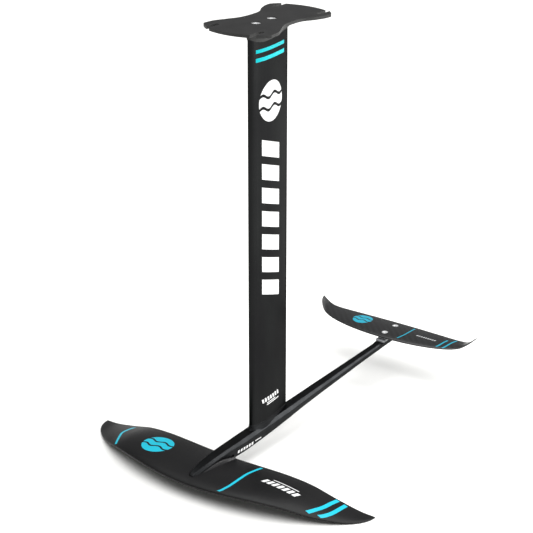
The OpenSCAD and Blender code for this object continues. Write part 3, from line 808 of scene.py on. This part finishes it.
def collarRing(t):
    lip = body["collarLip"]
    side = (halfWide - mastThickness / 2) * t ** 1.5 - 0.3 * t
    ring = []
    for x, y in mastOutline(lip):
        bulge = abs(x) / (mastThickness / 2 + lip)
        ring.append(Vector((
            x + math.copysign((side - lip * t) * bulge, x),
            mastMiddle + (y - mastMiddle) * (1 + body["collarEndFlare"] * t ** 2.2 / (mastChord / 2)),
            seamZ - t * body["collarDepth"])) * mm)
    return ring


noseYs = [body["nose"] + (body["tangStart"] - body["nose"]) * (k / 30) ** 1.6 for k in range(31)]
bodyYs = [blend(body["tangStart"], body["tail"] - 6, k / 110) for k in range(111)]
tailYs = [blend(body["tail"] - 6, body["tail"], k / 5) for k in range(1, 6)]
fuselageRings = [bodyRing(y, bottom=body["tangFloor"]) for y in noseYs]
fuselageRings += [bodyRing(y) for y in bodyYs + tailYs]
fuselage = loftObject("fuselageBody", [fuselageRings])
collar = loftObject("collar", [[collarRing(i / 16) for i in range(17)]], ladder=True)
combine(fuselage, collar, "UNION")
sink = []
sinkRows = sunkHole(fasteners["mastScrew"], fuselageHeadZ, -1, fuselageHeadZ - body["headRoom"], seamZ + 3)
for y in mastScrewY:
    sink.append(turnedRings(sinkRows, y))
sink.append([flatRing(cellOutline(mastShape["cells"][1], -0.15), z) for z in (seamZ - 9.5, seamZ + 3)])
combine(fuselage, loftObject("sinks", sink), "DIFFERENCE")
softenEdges(fuselage, 0.35, angle=50, steps=2, crease=34)

fuselageLook = {
    "ground": "#212223", "light": "#2c2d2e", "worn": "#54575a", "ink": "#e8e8e8",
    "note": (-108.0, -62.0, -746.0, 5.0, 6, -0.3, 0.62), "line": (-50.0, 9.0, -744.6, 0.8),
}
# black anodised aluminium, machined: satin, with the cutter's lines along the body and rubbed edges
fuselageMaterial, tree, shader, inMm = startMaterial("black anodised aluminium, machined", {
    "Base Color": fuselageLook["ground"], "Metallic": 1.0, "Roughness": 0.42,
    "Specular IOR Level": 0.15, "Specular Tint": (0.6, 0.6, 0.6, 1),
})
spot = addNode(tree, "SeparateXYZ", inputs=[inMm])
# cutter lines 0.2 mm apart, drawn at 1.2 mm
cutLines = addNode(tree, "TexNoise", inputs={
    "Vector": addNode(tree, "VectorMath", "MULTIPLY", [inMm, perMm(1.2, 160, 1.2)]),
    "Scale": 1, "Detail": 3, "Roughness": 0.6})
cloud = addNode(tree, "TexNoise", inputs={"Vector": inMm, "Scale": 1 / 28, "Detail": 3})
shade = chain(tree, "MULTIPLY", [cutLines, cloud])
tint = addNode(tree, "MapRange", inputs={"Value": shade, "From Min": 0.15, "From Max": 0.38})
ground = addNode(tree, "Mix", colourMix, {0: tint, 6: fuselageLook["ground"], 7: fuselageLook["light"]})
point = addNode(tree, "NewGeometry").outputs["Pointiness"]
edge = addNode(tree, "MapRange", inputs={
    "Value": point, "From Min": 0.56, "From Max": 0.7, "To Max": 0.35})
worn = addNode(tree, "Mix", colourMix, {0: edge, 6: ground, 7: fuselageLook["worn"]})
bodyY, bodyZ = spot.outputs["Y"], spot.outputs["Z"]
noteBars = bars(tree, bodyY, bodyZ, *fuselageLook["note"])
noteLine = patch(tree, bodyY, bodyZ, *fuselageLook["line"])
rough = addNode(tree, "MapRange", inputs={"Value": cutLines, "To Min": 0.36, "To Max": 0.48})
noteMarks = chain(tree, "MAXIMUM", [noteBars, noteLine])
printMarks(tree, shader, worn, rough, [(noteMarks, fuselageLook["ink"])], metal=True)
bump = addNode(tree, "Bump", inputs={"Strength": 0.07, "Distance": 0.0003, "Height": cutLines})
feed(tree, shader, {"Normal": bump})
finishPiece(fuselage, "fuselage", fuselageMaterial)
print("fuselage is made")


# wings, lofted from one section

def chordAt(wing, f):
    power = blend(wing["taper"], wing["tipTaper"], abs(f) ** 12)
    return wing["chord"] * max(1 - f * f, 0.0012) ** power


def skinPoint(wing, f, s, side):
    a = abs(f)
    chord = chordAt(wing, a)
    thick = wing["thickness"] * (chord / wing["chord"]) ** 1.25 + wing["tipThick"] * a ** 6
    height = wing["level"] + wing["lift"] * smoothRow(wing["liftRows"], a)[0]
    tilt = math.tan(math.radians(wing["incidence"]))
    arch = 4 * wing["camber"] * chord * s * (1 - s) + tilt * chord * (1 - s)
    z = height + arch + side * (foil(s) * thick + wing["edge"] / 2 * s * min(1, chord / 20))
    return Vector((f * wing["halfSpan"], wing["rear"] + wing["sweep"] * f * f - chord * (1 - s), z))


def wingRings(wing, stations, steps):
    rings = []
    for k in range(-stations, stations + 1):
        f = math.sin(math.pi / 2 * k / stations)
        shares = [(1 - math.cos(math.pi * i / steps)) / 2 for i in range(steps + 1)]
        ring = [skinPoint(wing, f, s, 1) for s in reversed(shares)]
        ring += [skinPoint(wing, f, s, -1) for s in shares[1:]]
        rings.append([(alongBody @ p) * mm for p in ring])
    return rings


def shareAt(wing, y):
    return (y - wing["rear"] + wing["chord"]) / wing["chord"]


frontWing = {
    "halfSpan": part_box("front_wing")[1].x / mm, "chord": 119.0, "thickness": 16.0,
    "rear": body["wingRear"], "level": -25.3, "sweep": 16.5, "lift": -31.0, "taper": 0.57,
    "tipTaper": 0.5, "camber": 0.021, "incidence": 0.7, "edge": 0.79, "tipThick": -0.02,
    "liftRows": [
        (0, 0.07), (0.12, 0.05), (0.3, 0), (0.45, 0.01), (0.6, 0.16), (0.75, 0.54), (0.9, 0.885), (1, 1),
    ],
    "screwY": (-186.0, -146.0), "bushing": 15.0, "bushingHeight": 4.6, "bushingInset": 0.5,
    "rimEdge": 0.25,
}
level = frontWing["level"]
saddleRows = [
    (body["nose"] - 9, 4, level + 2, 7),
    (body["nose"] - 1, 0.42 * halfWide + 3, level + 5.5, 0.42 * halfWide + 7),
    (-202, 0.68 * halfWide + 3, level + 9.5, 0.68 * halfWide + 8),
    (-180, 0.8 * halfWide + 3, level + 12, 0.8 * halfWide + 9.5),
    (-156, 0.88 * halfWide + 2.8, level + 11, 0.88 * halfWide + 10),
    (-136, 0.9 * halfWide + 2.4, level + 6, 0.9 * halfWide + 8.5),
    (body["wingRear"], 0.9 * halfWide + 2, level + 1.5, 0.9 * halfWide + 5),
]


def saddleRing(y):
    rim, rimZ, foot = smoothRow(saddleRows, y)
    points = [(foot, level - 1), (blend(rim, foot, 0.45), blend(level, rimZ, 0.45)),
              (blend(rim, foot, 0.12), blend(level, rimZ, 0.85)), (rim - 0.6, rimZ), (rim - 3.0, rimZ)]
    rows = [(k, *p) for k, p in enumerate(points)]
    side = [smoothRow(rows, k / 6) for k in range(25)]
    ring = [Vector((x, y, z)) for x, z in side] + [Vector((-x, y, z)) for x, z in reversed(side)]
    return [(alongBody @ p) * mm for p in ring]


front = loftObject("frontWing", [wingRings(frontWing, 60, 30)])
saddleYs = [blend(saddleRows[0][0], saddleRows[-1][0], k / 44) for k in range(45)]
combine(front, loftObject("saddle", [[saddleRing(y) for y in saddleYs]]), "UNION")
gap = body["gap"]
tangYs = [body["nose"] + (body["tangStart"] - body["nose"]) * (k / 24) ** 1.6 for k in range(25)]
tangRings = [bodyRing(y, gap, body["tangFloor"] - gap) for y in tangYs]
tangRings[0] = [p + Vector((0, -gap * mm, 0)) for p in tangRings[0]]
tangRings.append([p + Vector((0, 25 * mm, 25 * mm * math.tan(pitch))) for p in tangRings[-1]])
holes = [tangRings]
bushingRoom = frontWing["bushing"] / 2 + gap
wingBolt = fasteners["wingScrew"] / 2 + fasteners["gap"]
bushingZ = []
for y in frontWing["screwY"]:
    z = skinPoint(frontWing, 0, shareAt(frontWing, y), -1).z + frontWing["bushingInset"]
    bushingZ.append(z)
    step = z + frontWing["bushingHeight"]
    rows = [(bushingRoom, z - 6), (bushingRoom, step), (wingBolt, step + 0.01), (wingBolt, z + 20)]
    holes.append(turnedRings(rows, y, alongBody))
for ringSet in holes:
    combine(front, loftObject("hole", [ringSet]), "DIFFERENCE")
softenEdges(front, frontWing["rimEdge"], angle=48, steps=2, crease=38)

frontLook = {
    "ground": "#0c0c0d", "light": "#141415", "inks": ("#1db4cb", "#e6e7e7"),
    "stripes": [
        ([(64.9, -230), (72.2, -220), (76, -205.6), (76.6, -184), (75.8, -163.6), (76.9, -142),
          (78, -124)], 5.0),
        ([(-193, -195), (-197, -187), (-208, -166), (-215, -150), (-215, -139), (-214, -129),
          (-211, -121)], 5.0),
        ([(213, -181), (219.5, -167), (225, -149), (226.5, -131), (227.6, -111.5)], 7.4),
        ([(231, -173), (239, -160.5), (243, -146.5), (244, -130), (244, -112)], 7.4),
    ],
    "roundel": ((-115.0, -171.0), 29.0),
    "bars": (112.0, 185.0, -164.0, 12.0, 7, -0.4, 0.64),
    "line": (150.0, 26.0, -152.5, 0.9),
}
# carbon laminate under satin gelcoat, moulded: black, faint tows under a skin with long low waves
frontMaterial, tree, shader, inMm = startMaterial("carbon laminate, moulded in satin gelcoat", {
    "Base Color": frontLook["ground"], "Roughness": 0.42, "IOR": 1.5, "Specular IOR Level": 0.25,
})
spot = addNode(tree, "SeparateXYZ", inputs=[inMm])
wingX, wingY = spot.outputs["X"], spot.outputs["Y"]
# tows 2 mm wide, drawn at 4 mm
tows = addNode(tree, "TexNoise", inputs={
    "Vector": addNode(tree, "VectorMath", "MULTIPLY", [inMm, perMm(90, 4, 60)]),
    "Scale": 1, "Detail": 2})
skin = addNode(tree, "TexNoise", inputs={"Vector": inMm, "Scale": 1 / 3.0, "Detail": 2})
ground = addNode(tree, "Mix", colourMix, {0: tows, 6: frontLook["ground"], 7: frontLook["light"]})
rough = addNode(tree, "MapRange", inputs={"Value": skin, "To Min": 0.34, "To Max": 0.46})
cyan = chain(tree, "MAXIMUM", [
    bentStripe(tree, wingX, wingY, points, width) for points, width in frontLook["stripes"]
] + [roundel(tree, wingX, wingY, *frontLook["roundel"])])
white = chain(tree, "MAXIMUM", [
    bars(tree, wingX, wingY, *frontLook["bars"]), patch(tree, wingX, wingY, *frontLook["line"])])
printMarks(tree, shader, ground, rough, zip((onTop(tree, cyan), onTop(tree, white)), frontLook["inks"]))
relief = chain(tree, "ADD", [tows, skin])
bump = addNode(tree, "Bump", inputs={"Strength": 0.05, "Distance": 0.0004, "Height": relief})
feed(tree, shader, {"Normal": bump})
finishPiece(front, "front_wing", frontMaterial)

# bushings: turned steel rings with a seat for the screw's head
bushingMaterial, tree, shader, inMm = startMaterial("zinc plated steel, turned", {
    "Base Color": "#aeb1b5", "Metallic": 1.0, "Roughness": 0.36,
})
crystal = addNode(tree, "TexVoronoi", inputs={"Vector": inMm, "Scale": 1 / 1.4}).outputs["Distance"]
tint = addNode(tree, "Mix", colourMix, {0: crystal, 6: "#a3a6aa", 7: "#bcbfc2"})
feed(tree, shader, {"Base Color": tint})
rough = addNode(tree, "MapRange", inputs={"Value": crystal, "To Min": 0.3, "To Max": 0.45})
feed(tree, shader, {"Roughness": rough})
bm = bmesh.new()
wingHead = fasteners["wingScrew"] + fasteners["gap"]
for y, z in zip(frontWing["screwY"], bushingZ):
    outer = frontWing["bushing"] / 2
    neck = z + frontWing["bushingInset"] + screwShape["rim"]
    end = z + frontWing["bushingHeight"]
    profile = [
        (outer - 0.25, z), (outer, z + 0.25), (outer, end - 0.2), (outer - 0.2, end),
        (wingBolt + 0.1, end), (wingBolt, end - 0.1), (wingBolt, neck + wingHead - wingBolt),
        (wingHead, neck), (wingHead, z + 0.15), (wingHead + 0.15, z),
    ]
    rows = [[bm.verts.new(p) for p in ring] for ring in turnedRings(profile, y, alongBody)]
    for low, high in zip(rows, rows[1:] + rows[:1]):
        for i in range(len(low)):
            j = (i + 1) % len(low)
            bm.faces.new((low[i], low[j], high[j], high[i]))
bushings = newObject("wingBushings", bm)
softenEdges(bushings, 0, crease=30)
finishPiece(bushings, "front_wing_bushings", bushingMaterial)
wingHeads = [(0, y, z + frontWing["bushingInset"]) for y, z in zip(frontWing["screwY"], bushingZ)]
screwPiece("frontWingScrews", "front_wing_screws", fasteners["wingScrew"], fasteners["wingLength"],
           wingHeads, -1, alongBody)
print("front wing is made")

stabWing = {
    "halfSpan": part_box("stabiliser")[1].x / mm, "chord": 73.5, "thickness": 8.4, "rear": 443.5,
    "level": 2.2, "sweep": -7.7, "lift": 19.0, "taper": 0.525, "tipTaper": 0.5, "camber": 0.014,
    "incidence": 0.4, "edge": 0.8, "tipThick": 2.2,
    "liftRows": [(0, 0), (0.5, 0.01), (0.75, 0.055), (0.85, 0.145), (0.9, 0.29), (0.95, 0.59), (1, 1)],
    "screwY": (386.15, 424.15), "headInset": 0.5, "rimEdge": 0.22,
}
stabHeads = []
for y in stabWing["screwY"]:
    skin = skinPoint(stabWing, 0, shareAt(stabWing, y), 1)
    stabHeads.append((0, y, skin.z - stabWing["headInset"]))


def headRoom():
    return [
        turnedRings(sunkHole(fasteners["wingScrew"], z, 1, z + 2, z - 20), y, alongBody)
        for x, y, z in stabHeads
    ]


stab = loftObject("stabiliserWing", [wingRings(stabWing, 60, 26)])
combine(stab, loftObject("hole", headRoom()), "DIFFERENCE")
softenEdges(stab, stabWing["rimEdge"], angle=48, steps=2, crease=38)

stabLook = {
    "ground": "#151516", "warp": "#1d1e1f", "tow": 3.6, "inks": ("#1c96ae", "#b8b9ba"),
    "stripes": [
        ([(33, 378), (37.5, 389), (39.3, 400), (39.4, 414), (38.8, 435)], 2.6),
        ([(114, 389), (117.5, 397), (118.6, 408), (120, 424)], 3.4),
        ([(126.6, 391), (130.6, 400), (132, 414), (134.6, 434)], 3.4),
    ],
    "roundel": ((-69.0, 412.0), 20.0),
    "bars": (60.0, 104.0, 407.0, 4.0, 9, -0.3, 0.6),
}
# twill carbon under clear lacquer, moulded: dark grey weave with a glossy coat
stabMaterial, tree, shader, inMm = startMaterial("twill carbon laminate, lacquered", {
    "Base Color": stabLook["ground"], "Roughness": 0.45, "IOR": 1.5, "Specular IOR Level": 0.4,
    "Coat Weight": 0.25, "Coat Roughness": 0.2,
})
spot = addNode(tree, "SeparateXYZ", inputs=[inMm])
wingX, wingY = spot.outputs["X"], spot.outputs["Y"]
# twill with 2 mm tows, drawn at 3.6 mm: a tow goes over two and under two, one step along each row
cell = addNode(tree, "VectorMath", "SCALE", {"Vector": inMm, "Scale": 1 / stabLook["tow"]})
cellAt = addNode(tree, "VectorMath", "FLOOR", [cell])
column = addNode(tree, "SeparateXYZ", inputs=[cellAt])
stepSum = addNode(tree, "Math", "ADD", [column.outputs["X"], column.outputs["Y"]])
quarter = addNode(tree, "Math", "DIVIDE", [stepSum, 4])
turn = addNode(tree, "Math", "FRACT", [quarter])
warp = addNode(tree, "Math", "LESS_THAN", [turn, 0.4])
fibres = addNode(tree, "TexNoise", inputs={
    "Vector": addNode(tree, "VectorMath", "MULTIPLY", [inMm, perMm(0.9, 14, 14)]),
    "Scale": 1, "Detail": 2})
weave = chain(tree, "MULTIPLY", [warp, fibres])
weaveTint = addNode(tree, "Math", "MULTIPLY", [weave, 1.3])
ground = addNode(tree, "Mix", colourMix, {0: weaveTint, 6: stabLook["ground"], 7: stabLook["warp"]})
rough = addNode(tree, "MapRange", inputs={"Value": warp, "To Min": 0.38, "To Max": 0.41})
cyan = chain(tree, "MAXIMUM", [
    bentStripe(tree, wingX, wingY, points, width) for points, width in stabLook["stripes"]
] + [roundel(tree, wingX, wingY, *stabLook["roundel"])])
white = bars(tree, wingX, wingY, *stabLook["bars"])
printMarks(tree, shader, ground, rough, zip((onTop(tree, cyan), onTop(tree, white)), stabLook["inks"]))
bump = addNode(tree, "Bump", inputs={"Strength": 0.04, "Distance": 0.0003, "Height": weave})
feed(tree, shader, {"Normal": bump})

shimShape = {
    "width": 20.0, "corner": 4.0, "lap": 4.0, "lip": 2.5, "step": 9.0, "rise": 8.2, "edge": 0.5,
}


def shimOutline(frontEnd):
    far = stabWing["rear"] - shimShape["lap"] - shimShape["corner"]
    near = frontEnd + shimShape["corner"]
    reach = shimShape["width"] / 2 - shimShape["corner"]
    ring = []
    for corner, (x, y) in enumerate(((reach, far), (-reach, far), (-reach, near), (reach, near))):
        for k in range(9):
            a = math.pi / 2 * (corner + k / 8)
            ring.append((x + shimShape["corner"] * math.cos(a), y + shimShape["corner"] * math.sin(a)))
    return ring


def shimRings(frontEnd, height):
    outline = shimOutline(frontEnd)
    levels = (body["top"], body["top"] + height)
    return [[(alongBody @ Vector((x, y, z))) * mm for x, y in outline] for z in levels]


shim = loftObject("shimPad", [shimRings(body["seatFront"], shimShape["lip"])])
pad = shimRings(body["seatFront"] + shimShape["step"], shimShape["rise"])
combine(shim, loftObject("pad", [pad]), "UNION")
combine(shim, loftObject("wingSeat", [wingRings(stabWing, 60, 26)]), "DIFFERENCE")
combine(shim, loftObject("hole", headRoom()), "DIFFERENCE")
softenEdges(shim, shimShape["edge"], angle=50, steps=3, crease=35)

# glass filled nylon, moulded: mid grey, matt, with short pale fibres under the skin
shimMaterial, tree, shader, inMm = startMaterial("glass filled nylon, moulded", {
    "Base Color": "#8b8d90", "Roughness": 0.5, "IOR": 1.53,
})
fibre = addNode(tree, "TexNoise", inputs={
    "Vector": addNode(tree, "VectorMath", "MULTIPLY", [inMm, perMm(0.8, 5, 0.8)]),
    "Scale": 1, "Detail": 3})
tint = addNode(tree, "Mix", colourMix, {0: fibre, 6: "#7d7f82", 7: "#9a9c9f"})
feed(tree, shader, {"Base Color": tint})
bump = addNode(tree, "Bump", inputs={"Strength": 0.1, "Distance": 0.0003, "Height": fibre})
feed(tree, shader, {"Normal": bump})
finishPiece(stab, "stabiliser", stabMaterial)
finishPiece(shim, "stabiliser_shim", shimMaterial)
screwPiece("stabiliserScrews", "stabiliser_screws", fasteners["wingScrew"],
           fasteners["stabiliserLength"], stabHeads, 1, alongBody)
print("stabiliser and shim are made")


# pieces inside, which keep their CAD shape

# nodes, dark and pale colour, metallic, roughness, and the pattern's lengths in mm
innerLooks = {
    # warm metal, slightly dulled by handling
    "brass, turned": (
        ("nose_thread_inserts", "tail_thread_inserts"), "#b08d4f", "#c9a766", 1.0, 0.35, (0.6, 0.6, 0.6)),
    # bright, with fine lines along its length
    "aluminium, machined": (
        ("mast_head_insert", "mast_foot_insert"), "#8d9096", "#a6a9ad", 1.0, 0.4, (0.8, 0.8, 60)),
    # matt grey, with cells that show as specks
    "closed cell foam, cut": (
        ("mast_plugs",), "#45464a", "#5b5c60", 0.0, 0.9, (0.9, 0.9, 0.9)),
    # matt tan, with pale cells
    "structural foam, milled": (
        ("front_wing_cores", "stabiliser_cores"), "#cfc6a4", "#e2dabb", 0.0, 0.9, (1.2, 1.2, 1.2)),
    # green-brown, with thin level plies
    "glass laminate, cut": (
        ("front_wing_block",), "#66713a", "#86905a", 0.0, 0.5, (20, 20, 0.5)),
}
for name, (nodes, dark, pale, metal, roughness, sizes) in innerLooks.items():
    material, tree, shader, inMm = startMaterial(name, {
        "Base Color": dark, "Roughness": roughness, "Metallic": metal,
    })
    speck = addNode(tree, "TexNoise", inputs={
        "Vector": addNode(tree, "VectorMath", "MULTIPLY", [inMm, perMm(*sizes)]),
        "Scale": 1, "Detail": 3})
    tint = addNode(tree, "Mix", colourMix, {0: speck, 6: dark, 7: pale})
    bump = addNode(tree, "Bump", inputs={"Strength": 0.15, "Distance": 0.0003, "Height": speck})
    feed(tree, shader, {"Base Color": tint, "Normal": bump})
    for node in nodes:
        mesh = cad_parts[node].data
        mesh.materials.clear()
        mesh.materials.append(material)
print("inner pieces have their materials")

print("CAD box", [round(v, 4) for v in (*cadBox[0], *cadBox[1])])
